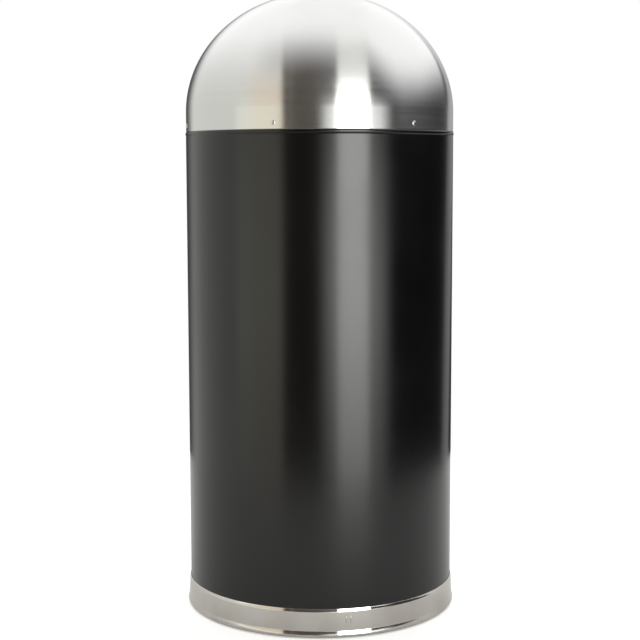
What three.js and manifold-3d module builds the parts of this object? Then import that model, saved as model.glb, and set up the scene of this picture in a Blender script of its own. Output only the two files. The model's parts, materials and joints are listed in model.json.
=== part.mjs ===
// Dome-top litter bin: a coated steel body on a flared base band, a lift-off steel dome with a sprung
// flap in its front, and a tapered inner liner with a bail handle.
// Millimetres, +Z up. The origin is on the floor at the body's axis, and the flap faces -Y.

import * as THREE from "three";
import { mergeVertices } from "three/addons/utils/BufferGeometryUtils.js";
import Module from "manifold-3d";

const wasm = await Module();
wasm.setup();

// Driving dimensions: body, base and feet
const bodyRadius = 190.5;
const bodyWall = 1;
const bodyTop = 680.2;
const rimHeight = 5.5;
const rimBulge = 0.6;
const bandHeight = 39;
const bandFace = 1.5;
const bandSkirt = 2.6;
const bandLip = 6;
const bandFlare = 4;
const beadHeight = 8;
const coveTop = 10.8;
const stitchHeight = 11;
const stitchRadius = 0.8;
const stitchSpacing = 6.4;
const stitchAboveCove = 13.6;
const floorGap = 1.5;
const footHeight = 7.7;
const footRadius = 13;
const footCircle = 172;
const panDepth = 15;
const panWall = 1.2;

// Driving dimensions: dome and collar
const domeWall = 1;
const domeInset = 0.4;
const skirtHeight = 27.5;
const domeRise = 168;
const hemHeight = 5;
const hemWidth = 2;
const collarPlay = 1.9;
const collarWall = 1.2;
const collarDrop = 22;
const collarRise = 16;
const rivetHeight = 8.3;
const rivetCount = 6;

// Driving dimensions: opening, flap and hinge
const openingWidth = 208;
const openingHeight = 106;
const openingAboveSeam = 31.5;
const lowerCorner = 20;
const upperCorner = 50;
const flapOverlap = 11;
const flapGap = 1.5;
const flapWall = 1;
const hingeSetback = 35;
const hingeRise = 2;
const rodRadius = 2.5;
const rodLength = 130;
const leafWidth = 79;
const leafWall = 1.2;
const leafSetback = 10;
const knuckleRadius = 4.7;
const bracketInner = 58;
const bracketWall = 2;
const springWire = 0.7;
const springRadius = 4.3;
const springTurns = 4;
const springPitch = 2.4;
const springStart = 3.6;
const springLeg = 9;

// Driving dimensions: liner and bail handle
const gripRadius = 4.3;
const bailWire = 2.5;
const bailPlay = 1.1;
const lipPlay = 2.2;
const linerWall = 1;
const ringWire = 2.8;
const linerTaper = 9.5;
const linerBelowRim = 23.5;
const pivotBelowLip = 16.7;
const bailDroop = THREE.MathUtils.degToRad(5);

// Clearances between neighbouring pieces
const gap = 0.3;
const facetSag = 1.3;

// Derived places
const seam = bodyTop + gap;
const domeRadius = bodyRadius - domeInset;
const shoulder = seam + skirtHeight;
const bodyInner = bodyRadius - bodyWall;
const panFloor = footHeight + gap;
const panTop = panFloor + panWall;
const collarOuter = bodyInner - collarPlay;
const collarInner = collarOuter - collarWall;
const bailRadius = collarInner - gripRadius - bailPlay;
const lipRadius = bailRadius - gripRadius - lipPlay;
const ringRadius = lipRadius - 1 - ringWire;
const linerTopRadius = ringRadius - ringWire - gap - 0.1;
const linerBaseRadius = linerTopRadius - linerTaper;
const linerTop = bodyTop - linerBelowRim;
const linerBase = panTop + gap + 0.5;
const pivotHeight = linerTop - pivotBelowLip;
const openingLow = seam + openingAboveSeam;
const openingTop = openingLow + openingHeight;
const flapTop = openingTop + flapOverlap;
const flapInset = domeWall + flapGap;
const hingeHeight = flapTop + hingeRise;
const hingeDepth = -(domeRadiusAt(flapInset, flapTop) - hingeSetback);

const ROUND = 48;
const DOME_STEPS = 8;

const steel = new THREE.MeshStandardMaterial({ color: 0xc9c8c6, roughness: 0.32, metalness: 1 });
const polished = new THREE.MeshStandardMaterial({ color: 0xd2d0cc, roughness: 0.16, metalness: 1 });
const blackCoat = new THREE.MeshStandardMaterial({ color: 0x141416, roughness: 0.42, metalness: 0 });
const zinc = new THREE.MeshStandardMaterial({ color: 0x9a9ea1, roughness: 0.5, metalness: 0.9 });
const springSteel = new THREE.MeshStandardMaterial({ color: 0x777a7d, roughness: 0.35, metalness: 1 });
const rubber = new THREE.MeshStandardMaterial({ color: 0x1a1a1a, roughness: 0.85, metalness: 0 });

// ---------- geometry helpers ----------

function welded(geometry) {
  geometry.deleteAttribute("normal");
  geometry.deleteAttribute("uv");
  const merged = mergeVertices(geometry, 1e-4);
  const index = merged.getIndex().array;
  const kept = [];
  for (let i = 0; i < index.length; i += 3) {
    const [a, b, c] = [index[i], index[i + 1], index[i + 2]];
    if (a !== b && b !== c && c !== a) kept.push(a, b, c);
  }
  merged.setIndex(kept);
  return merged;
}

function toSolid(geometry) {
  const mesh = welded(geometry);
  const vertProperties = new Float32Array(mesh.getAttribute("position").array);
  const triVerts = new Uint32Array(mesh.getIndex().array);
  return new wasm.Manifold(new wasm.Mesh({ numProp: 3, vertProperties, triVerts }));
}

function toGeometry(solid) {
  const mesh = solid.getMesh();
  const geometry = new THREE.BufferGeometry();
  geometry.setAttribute("position", new THREE.BufferAttribute(mesh.vertProperties, 3));
  geometry.setIndex(new THREE.BufferAttribute(mesh.triVerts, 1));
  return geometry;
}

// Turns an outline of [radius, height] points about +Z.
function lathe(outline, segments = ROUND) {
  const points = outline.map(([radius, height]) => new THREE.Vector2(radius, height));
  return welded(new THREE.LatheGeometry(points, segments).rotateX(Math.PI / 2));
}

// A closed ring: its outline ends where it starts.
function latheRing(outline, segments = ROUND) {
  return lathe([...outline, outline[0]], segments);
}

function box(low, high) {
  const size = high.map((value, axis) => value - low[axis]);
  const geometry = new THREE.BoxGeometry(...size);
  return geometry.translate(...high.map((value, axis) => (value + low[axis]) / 2));
}

// Turns a piece made along +Z to point along a direction, and moves it to a point.
function aimed(geometry, point, direction) {
  const turn = new THREE.Quaternion().setFromUnitVectors(new THREE.Vector3(0, 0, 1), direction);
  return geometry.applyQuaternion(turn).translate(point.x, point.y, point.z);
}

function cylinderBetween(radius, from, to, segments = 16) {
  const direction = new THREE.Vector3().subVectors(to, from);
  const length = direction.length();
  const geometry = new THREE.CylinderGeometry(radius, radius, length, segments).rotateX(Math.PI / 2);
  return aimed(geometry.translate(0, 0, length / 2), from, direction.normalize());
}

// Extrudes a shape drawn in (Y, Z) along X.
function alongX(shape, from, to) {
  const geometry = new THREE.ExtrudeGeometry(shape, {
    depth: to - from,
    bevelEnabled: false,
    curveSegments: 16,
  });
  const basis = new THREE.Matrix4().makeBasis(
    new THREE.Vector3(0, 1, 0),
    new THREE.Vector3(0, 0, 1),
    new THREE.Vector3(1, 0, 0),
  );
  return geometry.translate(0, 0, from).applyMatrix4(basis);
}

// Extrudes a shape drawn in (X, Z) along Y.
function alongY(shape, from, to) {
  const geometry = new THREE.ExtrudeGeometry(shape, {
    depth: to - from,
    bevelEnabled: false,
    curveSegments: 6,
  });
  return geometry.rotateX(Math.PI / 2).translate(0, to, 0);
}

function polygon(points) {
  return new THREE.Shape(points.map(([u, v]) => new THREE.Vector2(u, v)));
}

function circle(radius) {
  return new THREE.Shape().absarc(0, 0, radius, 0, 2 * Math.PI);
}

function wire(path, radius, steps, sides = 8, bore = 0) {
  const section = circle(radius);
  if (bore > 0) section.holes.push(circle(bore));
  return new THREE.ExtrudeGeometry(section, {
    steps,
    extrudePath: path,
    bevelEnabled: false,
    curveSegments: sides / 2,
  });
}

class Arc extends THREE.Curve {
  constructor(radius, start, end) {
    super();
    Object.assign(this, { radius, start, end });
  }

  getPoint(t) {
    const angle = this.start + (this.end - this.start) * t;
    return new THREE.Vector3(this.radius * Math.cos(angle), this.radius * Math.sin(angle), 0);
  }
}

function mesh(name, geometry, material) {
  const piece = new THREE.Mesh(welded(geometry), material);
  piece.name = name;
  return piece;
}

// A domed rivet along +Z: its head stands on z = 0 and its tail closes below the grip.
function rivet({ head, headHeight, shank, grip, tail, tailHeight }) {
  return lathe([
    [0, -grip - tailHeight],
    [tail * 0.8, -grip - tailHeight],
    [tail, -grip],
    [shank, -grip],
    [shank, 0],
    [head, 0],
    [head * 0.8, headHeight * 0.65],
    [0, headHeight],
  ], 12);
}

const sides = [["left", -1], ["right", 1]];

// ---------- dome form shared by the dome, flap, brackets and bumpers ----------

function domeRadiusAt(inset, height) {
  const share = (height - shoulder) / (domeRise - inset);
  return (domeRadius - inset) * Math.sqrt(1 - share * share);
}

function domeArc(inset) {
  return Array.from({ length: DOME_STEPS + 1 }, (_, step) => {
    const angle = (Math.PI / 2) * (step / DOME_STEPS);
    const radius = step === DOME_STEPS ? 0 : (domeRadius - inset) * Math.cos(angle);
    return [radius, shoulder + (domeRise - inset) * Math.sin(angle)];
  });
}

// The whole space under the dome form at an inset, from just above the hem.
function domeSolid(inset) {
  const low = seam + hemHeight;
  return toSolid(lathe([[0, low], [domeRadius - inset, low], ...domeArc(inset)]));
}

// The thin layer of the dome form between two insets, cut to a block.
function domeLayer(outerInset, innerInset, block) {
  return domeSolid(outerInset).subtract(domeSolid(innerInset)).intersect(block);
}

// A point on the dome's outside above (x, y), with the outward normal there.
function domePoint(x, y) {
  const share = (x * x + y * y) / domeRadius ** 2;
  const rise = domeRise * Math.sqrt(1 - share);
  const normal = new THREE.Vector3(x / domeRadius ** 2, y / domeRadius ** 2, rise / domeRise ** 2);
  return { point: new THREE.Vector3(x, y, shoulder + rise), normal: normal.normalize() };
}

// The opening's outline in (X, Z), grown by a margin all round.
function openingShape(margin) {
  const half = openingWidth / 2 + margin;
  const low = openingLow - margin;
  const top = openingTop + margin;
  const lower = lowerCorner + margin;
  const upper = upperCorner + margin;
  const shape = new THREE.Shape();
  shape.absarc(half - lower, low + lower, lower, -Math.PI / 2, 0);
  shape.absarc(half - upper, top - upper, upper, 0, Math.PI / 2);
  shape.absarc(-half + upper, top - upper, upper, Math.PI / 2, Math.PI);
  shape.absarc(-half + lower, low + lower, lower, Math.PI, 1.5 * Math.PI);
  shape.closePath();
  return shape;
}

function frontBlock(margin) {
  return toSolid(alongY(openingShape(margin), -1.5 * domeRadius, hingeDepth + knuckleRadius));
}

// ---------- body, base and feet ----------

function bodyShell() {
  const rimLow = bodyTop - rimHeight;
  return latheRing([
    [bodyInner, floorGap * 2],
    [bodyRadius, floorGap * 2],
    [bodyRadius, rimLow],
    [bodyRadius - bodyWall * 0.3, rimLow + 0.6],
    [bodyRadius + rimBulge, rimLow + rimHeight * 0.35],
    [bodyRadius + rimBulge, bodyTop - rimHeight * 0.3],
    [bodyRadius + rimBulge * 0.5, bodyTop - 0.5],
    [bodyRadius - bodyWall * 0.4, bodyTop],
    [bodyInner, bodyTop - 0.3],
  ]);
}

function baseBand() {
  const top = floorGap + bandHeight;
  const seat = bodyRadius + gap;
  const ledge = floorGap * 2 - gap;
  return latheRing([
    [bodyInner - 2, floorGap],
    [bodyRadius + bandFlare * 0.5, floorGap],
    [bodyRadius + bandFlare * 0.85, floorGap + 0.8],
    [bodyRadius + bandFlare, floorGap + beadHeight * 0.35],
    [bodyRadius + bandFlare, floorGap + beadHeight * 0.6],
    [bodyRadius + bandSkirt, floorGap + coveTop],
    [bodyRadius + bandFace, top - bandLip],
    [bodyRadius + bandFace * 0.4, top - 0.6],
    [seat, top],
    [seat, ledge],
    [bodyInner - 2, ledge],
  ]);
}

function footPlaces() {
  return [1, 2, 3, 4].map((number) => {
    const angle = Math.PI / 4 + (number - 1) * (Math.PI / 2);
    return { number, x: footCircle * Math.cos(angle), y: footCircle * Math.sin(angle) };
  });
}

const footBore = 2.3;
const footShank = 1.8;

function bottomPan() {
  const outer = bodyInner - gap - 0.1;
  let pan = toSolid(lathe([
    [0, panFloor],
    [outer, panFloor],
    [outer, panTop + panDepth],
    [outer - panWall, panTop + panDepth],
    [outer - panWall, panTop],
    [0, panTop],
  ]));
  for (const { x, y } of footPlaces()) {
    const low = new THREE.Vector3(x, y, panFloor - 2);
    const high = new THREE.Vector3(x, y, panTop + 2);
    pan = pan.subtract(toSolid(cylinderBetween(footBore, low, high, 12)));
  }
  return toGeometry(pan);
}

function foot() {
  const floor = 2.5;
  return lathe([
    [0, 0],
    [footRadius - 1.5, 0],
    [footRadius, footHeight],
    [footBore, footHeight],
    [footBore, floor],
    [0, floor],
  ], 24);
}

function footRivet() {
  const underHead = panTop + gap;
  const tip = footHeight / 2;
  return lathe([
    [0, tip],
    [footShank, tip],
    [footShank, underHead],
    [5, underHead],
    [4, underHead + 1.2],
    [0, underHead + 1.7],
  ], 12);
}

// Two short upright stitches join the band's ends at the back.
function bandStitch() {
  const rod = new THREE.CapsuleGeometry(stitchRadius, stitchHeight - 2 * stitchRadius, 3, 8);
  const height = floorGap + coveTop + stitchAboveCove;
  const faceHeight = bandHeight - bandLip - coveTop;
  const lean = Math.atan2(bandSkirt - bandFace, faceHeight);
  const face = bodyRadius + bandSkirt - stitchAboveCove * Math.tan(lean);
  const depth = Math.sqrt(face ** 2 - (stitchSpacing / 2) ** 2);
  return rod.rotateX(Math.PI / 2 + lean).translate(0, depth + stitchRadius + gap, height);
}

function bodyGroup() {
  const group = new THREE.Group();
  group.add(mesh("body_shell", bodyShell(), blackCoat));
  group.add(mesh("base_band", baseBand(), polished));
  group.add(mesh("bottom_pan", bottomPan(), zinc));
  for (const [side, sign] of sides) {
    const stitch = mesh(`band_stitch_${side}`, bandStitch(), polished);
    stitch.position.x = (sign * stitchSpacing) / 2;
    group.add(stitch);
  }
  for (const { number, x, y } of footPlaces()) {
    const pad = mesh(`base_foot_${number}`, foot(), rubber);
    const pin = mesh(`foot_rivet_${number}`, footRivet(), zinc);
    pad.position.set(x, y, 0);
    pin.position.set(x, y, 0);
    group.add(pad, pin);
  }
  return group;
}

// ---------- liner ----------

function linerRadiusAt(height) {
  const share = (height - linerBase) / (linerTop - linerBase);
  return linerBaseRadius + linerTaper * share;
}

const lipThickness = 1;
const earWall = 2;
const earWidth = 20;
const earRivetShank = 1.3;
const earFootLow = pivotHeight - 36;
const earFootTop = pivotHeight - 14;
const earRivetHeights = [["lower", pivotHeight - 31], ["upper", pivotHeight - 20]];

function earRivetBore(sign, height) {
  const from = new THREE.Vector3(sign * (linerTopRadius - 15), 0, height);
  const to = new THREE.Vector3(sign * (linerTopRadius + 10), 0, height);
  return toSolid(cylinderBetween(earRivetShank + gap, from, to, 12));
}

function linerShell() {
  const lipUnder = linerTop - lipThickness;
  let shell = toSolid(latheRing([
    [linerBaseRadius - linerWall, linerBase],
    [linerBaseRadius, linerBase],
    [linerTopRadius, lipUnder],
    [lipRadius, lipUnder],
    [lipRadius, linerTop],
    [linerTopRadius - linerWall, linerTop],
  ]));
  for (const [, sign] of sides) {
    for (const [, height] of earRivetHeights) shell = shell.subtract(earRivetBore(sign, height));
  }
  return toGeometry(shell);
}

// The rim's wire sits under the folded lip.
function rimRing() {
  const count = 6;
  const height = linerTop - lipThickness - gap - ringWire;
  const outline = Array.from({ length: count }, (_, step) => {
    const angle = (2 * Math.PI * step) / count;
    return [ringRadius + ringWire * Math.cos(angle), height + ringWire * Math.sin(angle)];
  });
  return latheRing(outline);
}

function linerBottom() {
  const seat = 6.5;
  const outer = linerBaseRadius - linerWall - gap;
  return lathe([
    [0, linerBase + seat],
    [outer - linerWall, linerBase + seat],
    [outer - linerWall, linerBase + 0.5],
    [outer, linerBase + 0.5],
    [outer, linerBase + seat + linerWall],
    [0, linerBase + seat + linerWall],
  ]);
}

function linerEar(sign) {
  const footInner = linerRadiusAt(earFootTop) + gap;
  const footOuter = footInner + earWall;
  const eyeOuter = bailRadius - bailWire - 3;
  const eyeInner = eyeOuter - earWall;
  const outline = [
    [footInner, earFootLow],
    [footOuter, earFootLow],
    [footOuter, earFootTop],
    [eyeOuter, pivotHeight - 8.5],
    [eyeOuter, pivotHeight + 7.5],
    [eyeInner, pivotHeight + 7.5],
    [eyeInner, pivotHeight - 7.6],
    [footInner, earFootTop + 1],
  ];
  let ear = toSolid(alongY(polygon(outline), -earWidth / 2, earWidth / 2));
  const from = new THREE.Vector3(eyeInner - 3, 0, pivotHeight);
  const to = new THREE.Vector3(eyeOuter + 3, 0, pivotHeight);
  ear = ear.subtract(toSolid(cylinderBetween(bailWire + 0.6, from, to)));
  for (const [, height] of earRivetHeights) ear = ear.subtract(earRivetBore(1, height));
  return sign > 0 ? toGeometry(ear) : toGeometry(ear).rotateZ(Math.PI);
}

function earRivet(sign, height) {
  const face = linerRadiusAt(earFootTop) + gap + earWall;
  const inside = linerRadiusAt(height) - linerWall;
  const geometry = rivet({
    head: 3,
    headHeight: 1.4,
    shank: earRivetShank,
    grip: face - inside + gap,
    tail: 2.6,
    tailHeight: 0.8,
  });
  const out = new THREE.Vector3(sign, 0, 0);
  return aimed(geometry, new THREE.Vector3(sign * (face + 0.05), 0, height), out);
}

function linerGroup() {
  const group = new THREE.Group();
  group.add(mesh("liner_shell", linerShell(), zinc));
  group.add(mesh("liner_bottom", linerBottom(), zinc));
  group.add(mesh("liner_rim_ring", rimRing(), zinc));
  for (const [side, sign] of sides) {
    group.add(mesh(`liner_ear_${side}`, linerEar(sign), zinc));
    for (const [place, height] of earRivetHeights) {
      group.add(mesh(`ear_rivet_${side}_${place}`, earRivet(sign, height), zinc));
    }
  }
  return group;
}

// ---------- bail handle ----------

function bailLoop() {
  let loop = toSolid(wire(new Arc(bailRadius, 0, Math.PI), bailWire, 36));
  for (const [, sign] of sides) {
    const inner = new THREE.Vector3(sign * (bailRadius - 10), 0, 0);
    const outer = new THREE.Vector3(sign * (bailRadius + bailWire * 0.9), 0, 0);
    loop = loop.add(toSolid(cylinderBetween(bailWire, inner, outer, 12)));
  }
  return toGeometry(loop);
}

function bailGrip() {
  const half = THREE.MathUtils.degToRad(15);
  const middle = Math.PI / 2;
  return wire(new Arc(bailRadius, middle - half, middle + half), gripRadius, 8, 12, bailWire + 0.4);
}

function bailGroup() {
  const group = new THREE.Group();
  group.add(mesh("bail_handle", bailLoop(), zinc));
  group.add(mesh("bail_grip", bailGrip(), rubber));
  group.position.z = pivotHeight;
  group.rotation.x = -bailDroop;
  return group;
}

// ---------- dome ----------

const domeRivetShank = 1.2;

function domeRivetPlaces() {
  return Array.from({ length: rivetCount }, (_, step) => {
    const angle = (2 * Math.PI * (step + 0.5)) / rivetCount + Math.PI / 2;
    const out = new THREE.Vector3(Math.cos(angle), Math.sin(angle), 0);
    const place = out.clone().multiplyScalar(domeRadius).setZ(seam + rivetHeight);
    return { number: step + 1, out, place };
  });
}

function drillRivets(solid) {
  for (const { out, place } of domeRivetPlaces()) {
    const from = place.clone().addScaledVector(out, -12);
    const to = place.clone().addScaledVector(out, 5);
    solid = solid.subtract(toSolid(cylinderBetween(domeRivetShank + gap, from, to, 12)));
  }
  return solid;
}

const bracketPadWidth = 18;
const bracketRivetShank = 1.3;

function bracketRivetPlaces(sign) {
  const x = sign * (bracketInner + bracketWall - bracketPadWidth + 6);
  return [["front", -8], ["rear", 8]].map(([place, offset]) => ({
    place,
    ...domePoint(x, hingeDepth + offset),
  }));
}

function drillBracket(solid, sign) {
  for (const { point, normal } of bracketRivetPlaces(sign)) {
    const from = point.clone().addScaledVector(normal, -12);
    const to = point.clone().addScaledVector(normal, 6);
    solid = solid.subtract(toSolid(cylinderBetween(bracketRivetShank + gap, from, to, 12)));
  }
  return solid;
}

function domeShell() {
  const inner = domeArc(domeWall).reverse();
  let shell = toSolid(lathe([
    ...inner,
    [domeRadius - domeWall, seam + hemHeight],
    [domeRadius - hemWidth, seam + hemHeight],
    [domeRadius - hemWidth, seam],
    [domeRadius, seam],
    ...domeArc(0),
  ]));
  shell = drillRivets(shell.subtract(frontBlock(0)));
  for (const [, sign] of sides) shell = drillBracket(shell, sign);
  return toGeometry(shell);
}

function domeCollar() {
  return toGeometry(drillRivets(toSolid(latheRing([
    [collarInner, seam - collarDrop],
    [collarOuter - 0.6, seam - collarDrop],
    [collarOuter, seam - collarDrop + 2],
    [collarOuter, seam + collarRise],
    [collarInner, seam + collarRise],
  ]))));
}

function domeRivet() {
  return rivet({
    head: 3.2,
    headHeight: 1.3,
    shank: domeRivetShank,
    grip: domeRadius - collarInner + gap + 0.1,
    tail: 2.2,
    tailHeight: 0.8,
  });
}

// A bracket is a pad that follows the dome's inside and a cheek that carries the rod.
function hingeBracket(sign) {
  const padInset = domeWall + gap + 0.1;
  const span = (low, high) => (sign > 0 ? [low, high] : [-high, -low]);
  const [padLow, padHigh] = span(bracketInner + bracketWall - bracketPadWidth, bracketInner + bracketWall);
  const [cheekLow, cheekHigh] = span(bracketInner, bracketInner + bracketWall);
  const top = shoulder + domeRise;
  const padBlock = box([padLow, hingeDepth - 14, shoulder], [padHigh, hingeDepth + 14, top]);
  const cheekLowCorner = [cheekLow, hingeDepth - 7, hingeHeight - 6];
  const cheek = toSolid(box(cheekLowCorner, [cheekHigh, hingeDepth + 7, top])).intersect(domeSolid(padInset));
  const rodHole = cylinderBetween(
    rodRadius + gap,
    new THREE.Vector3(padLow - 20, hingeDepth, hingeHeight),
    new THREE.Vector3(padHigh + 20, hingeDepth, hingeHeight),
  );
  const bracket = domeLayer(padInset, padInset + bracketWall, toSolid(padBlock)).add(cheek);
  return toGeometry(drillBracket(bracket.subtract(toSolid(rodHole)), sign));
}

function bracketRivet({ point, normal }) {
  const geometry = rivet({
    head: 2.6,
    headHeight: 1.2,
    shank: bracketRivetShank,
    grip: domeWall + gap + 0.1 + bracketWall + facetSag,
    tail: 2.4,
    tailHeight: 0.8,
  });
  return aimed(geometry, point.clone().addScaledVector(normal, 0.05), normal);
}

function hingeRod() {
  const half = rodLength / 2;
  const from = new THREE.Vector3(-half, hingeDepth, hingeHeight);
  return cylinderBetween(rodRadius, from, new THREE.Vector3(half, hingeDepth, hingeHeight));
}

function rodCap(sign) {
  const inner = bracketInner + bracketWall + 1;
  const length = 2.5;
  const ring = latheRing([
    [rodRadius + gap, 0],
    [rodRadius + 2, 0],
    [rodRadius + 2, length],
    [rodRadius + gap, length],
  ], 16);
  const place = new THREE.Vector3(sign * inner, hingeDepth, hingeHeight);
  return aimed(ring, place, new THREE.Vector3(sign, 0, 0));
}

// A coil round the rod, with a straight leg up to the bracket's pad.
function returnSpring(sign) {
  const perTurn = 8;
  const start = leafWidth / 2 + springStart;
  const points = [];
  for (let step = 0; step <= springTurns * perTurn; step += 1) {
    const turn = step / perTurn;
    const angle = 2 * Math.PI * turn * sign;
    const y = hingeDepth + springRadius * Math.cos(angle);
    const z = hingeHeight + springRadius * Math.sin(angle);
    points.push(new THREE.Vector3(sign * (start + springPitch * turn), y, z));
  }
  const end = points[points.length - 1];
  points.push(new THREE.Vector3(end.x, end.y, end.z + springLeg * 0.28));
  points.push(new THREE.Vector3(end.x, end.y, end.z + springLeg));
  return wire(new THREE.CatmullRomCurve3(points), springWire, springTurns * perTurn + 4, 6);
}

function domeGroup() {
  const group = new THREE.Group();
  group.add(mesh("dome_shell", domeShell(), steel));
  group.add(mesh("dome_collar", domeCollar(), zinc));
  for (const { number, out, place } of domeRivetPlaces()) {
    const seat = place.clone().addScaledVector(out, 0.05);
    group.add(mesh(`dome_rivet_${number}`, aimed(domeRivet(), seat, out), steel));
  }
  group.add(mesh("hinge_rod", hingeRod(), springSteel));
  for (const [side, sign] of sides) {
    group.add(mesh(`hinge_bracket_${side}`, hingeBracket(sign), zinc));
    group.add(mesh(`rod_cap_${side}`, rodCap(sign), springSteel));
    group.add(mesh(`return_spring_${side}`, returnSpring(sign), springSteel));
    for (const spot of bracketRivetPlaces(sign)) {
      group.add(mesh(`bracket_rivet_${side}_${spot.place}`, bracketRivet(spot), steel));
    }
  }
  return group;
}

// ---------- flap ----------

const flangeUnder = flapTop - leafWall;
const flangeHalf = leafWidth / 2 + 6.5;
const flangeRear = hingeDepth - knuckleRadius - 2.3;
const leafTop = flangeUnder - gap;
const leafRivetShank = 1.3;
const leafRivetDepth = hingeDepth - (knuckleRadius + hingeSetback - leafSetback) / 2;

function drillLeaf(solid) {
  for (const [, sign] of sides) {
    const from = new THREE.Vector3(sign * leafWidth * 0.38, leafRivetDepth, leafTop - 5);
    const to = new THREE.Vector3(sign * leafWidth * 0.38, leafRivetDepth, flapTop + 5);
    solid = solid.subtract(toSolid(cylinderBetween(leafRivetShank + gap, from, to, 12)));
  }
  return solid;
}

// The flap is a patch of the dome form, held just inside it, with a flange bent in along its top.
function pushFlap() {
  const panel = domeLayer(flapInset, flapInset + flapWall, frontBlock(flapOverlap));
  const low = [-flangeHalf, hingeDepth - hingeSetback - 10, flangeUnder];
  const flange = toSolid(box(low, [flangeHalf, flangeRear, flapTop]));
  return toGeometry(drillLeaf(panel.add(flange.intersect(domeSolid(flapInset)))));
}

function hingeLeaf() {
  const low = hingeHeight - knuckleRadius;
  const front = hingeDepth - hingeSetback + leafSetback;
  const join = Math.PI - Math.asin((leafTop - hingeHeight) / knuckleRadius);
  const shape = new THREE.Shape();
  shape.moveTo(front, low);
  shape.absarc(hingeDepth, hingeHeight, knuckleRadius, -Math.PI / 2, join);
  shape.lineTo(front, leafTop);
  shape.closePath();
  shape.holes.push(new THREE.Path().absarc(hingeDepth, hingeHeight, rodRadius + gap, 0, 2 * Math.PI));
  return toGeometry(drillLeaf(toSolid(alongX(shape, -leafWidth / 2, leafWidth / 2))));
}

function leafRivet() {
  const grip = flapTop - (hingeHeight - knuckleRadius) + 0.1;
  return rivet({
    head: 2.6,
    headHeight: 1.2,
    shank: leafRivetShank,
    grip,
    tail: 2.4,
    tailHeight: 0.8,
  });
}

// The spring's moving leg presses up on the flap's flange.
function springArm(sign) {
  const x = sign * (leafWidth / 2 + 1.5);
  const z = hingeHeight - springRadius;
  const from = new THREE.Vector3(x, hingeDepth, z);
  return cylinderBetween(springWire, from, new THREE.Vector3(x, hingeDepth - hingeSetback * 0.65, z), 8);
}

function flapBumper(sign) {
  const x = sign * openingWidth * 0.385;
  const z = openingLow - flapOverlap / 2;
  const from = new THREE.Vector3(x, -1.2 * domeRadius, z);
  const block = cylinderBetween(4, from, new THREE.Vector3(x, -domeRadius / 2, z), 16);
  return toGeometry(domeLayer(domeWall + gap, flapInset - gap, toSolid(block)));
}

function flapGroup() {
  const group = new THREE.Group();
  group.add(mesh("push_flap", pushFlap(), steel));
  group.add(mesh("hinge_leaf", hingeLeaf(), zinc));
  for (const [side, sign] of sides) {
    const pin = mesh(`leaf_rivet_${side}`, leafRivet(), zinc);
    pin.position.set(sign * leafWidth * 0.38, leafRivetDepth, flapTop + 0.05);
    group.add(pin);
    group.add(mesh(`spring_arm_${side}`, springArm(sign), springSteel));
    group.add(mesh(`flap_bumper_${side}`, flapBumper(sign), rubber));
  }
  return group;
}

const bin = new THREE.Group();
bin.add(bodyGroup(), linerGroup(), bailGroup(), domeGroup(), flapGroup());

export default bin;
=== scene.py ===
"""Looks of a dome-top litter bin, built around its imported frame."""

import json
import math

import bmesh
import bpy
from mathutils import Matrix, Vector


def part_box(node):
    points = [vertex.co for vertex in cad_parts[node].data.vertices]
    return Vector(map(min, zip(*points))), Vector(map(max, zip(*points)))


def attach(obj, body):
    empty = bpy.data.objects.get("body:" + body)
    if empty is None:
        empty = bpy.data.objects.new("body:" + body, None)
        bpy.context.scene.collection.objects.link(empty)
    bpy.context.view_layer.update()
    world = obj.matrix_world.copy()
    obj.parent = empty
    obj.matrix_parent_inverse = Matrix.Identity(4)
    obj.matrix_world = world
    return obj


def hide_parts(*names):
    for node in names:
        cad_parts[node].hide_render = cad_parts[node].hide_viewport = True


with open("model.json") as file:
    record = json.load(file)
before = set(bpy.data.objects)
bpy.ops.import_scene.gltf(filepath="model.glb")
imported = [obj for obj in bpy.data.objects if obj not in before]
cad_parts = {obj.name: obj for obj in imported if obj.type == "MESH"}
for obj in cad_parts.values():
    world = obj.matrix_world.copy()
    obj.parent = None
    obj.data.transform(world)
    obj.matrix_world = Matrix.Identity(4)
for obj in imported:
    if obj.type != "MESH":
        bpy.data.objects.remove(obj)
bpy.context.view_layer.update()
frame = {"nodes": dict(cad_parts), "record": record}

MM = 0.001
UP = Vector((0, 0, 1))

# ---------- sizes read from the frame ----------

shell_low, shell_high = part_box("body_shell")
dome_low, dome_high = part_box("dome_shell")
band_low, band_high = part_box("base_band")

RIM_BULGE = 0.6 * MM
RIM_HEIGHT = 5.5 * MM
RIM_GROOVE = 0.8 * MM
SHEET = 1.0 * MM
SHEET_PAN = 1.2 * MM
SHEET_COLLAR = 1.2 * MM
body_radius = shell_high.x - RIM_BULGE
body_top = shell_high.z
dome_radius = dome_high.x
seam = dome_low.z
dome_top = dome_high.z
skirt = 27.5 * MM
shoulder = seam + skirt
dome_rise = dome_top - shoulder
joints = {joint["name"]: joint for joint in frame["record"]["behaviour"]["joints"]}
hinge = Vector(joints["flap_swing"]["pos_m"])
pivot = Vector(joints["bail_swing"]["pos_m"])

# ---------- camera ----------

CAMERA_AZIMUTH = math.radians(168.7)
CAMERA_TILT = math.radians(6.298)
CAMERA_ROLL = math.radians(-0.127)
CAMERA_DISTANCE = 1.9745
CAMERA_BELOW_SEAM = 0.052
LENS = 76.918

to_camera = Vector((math.sin(CAMERA_AZIMUTH), -math.cos(CAMERA_AZIMUTH), 0))
to_right = UP.cross(to_camera).normalized()


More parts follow.
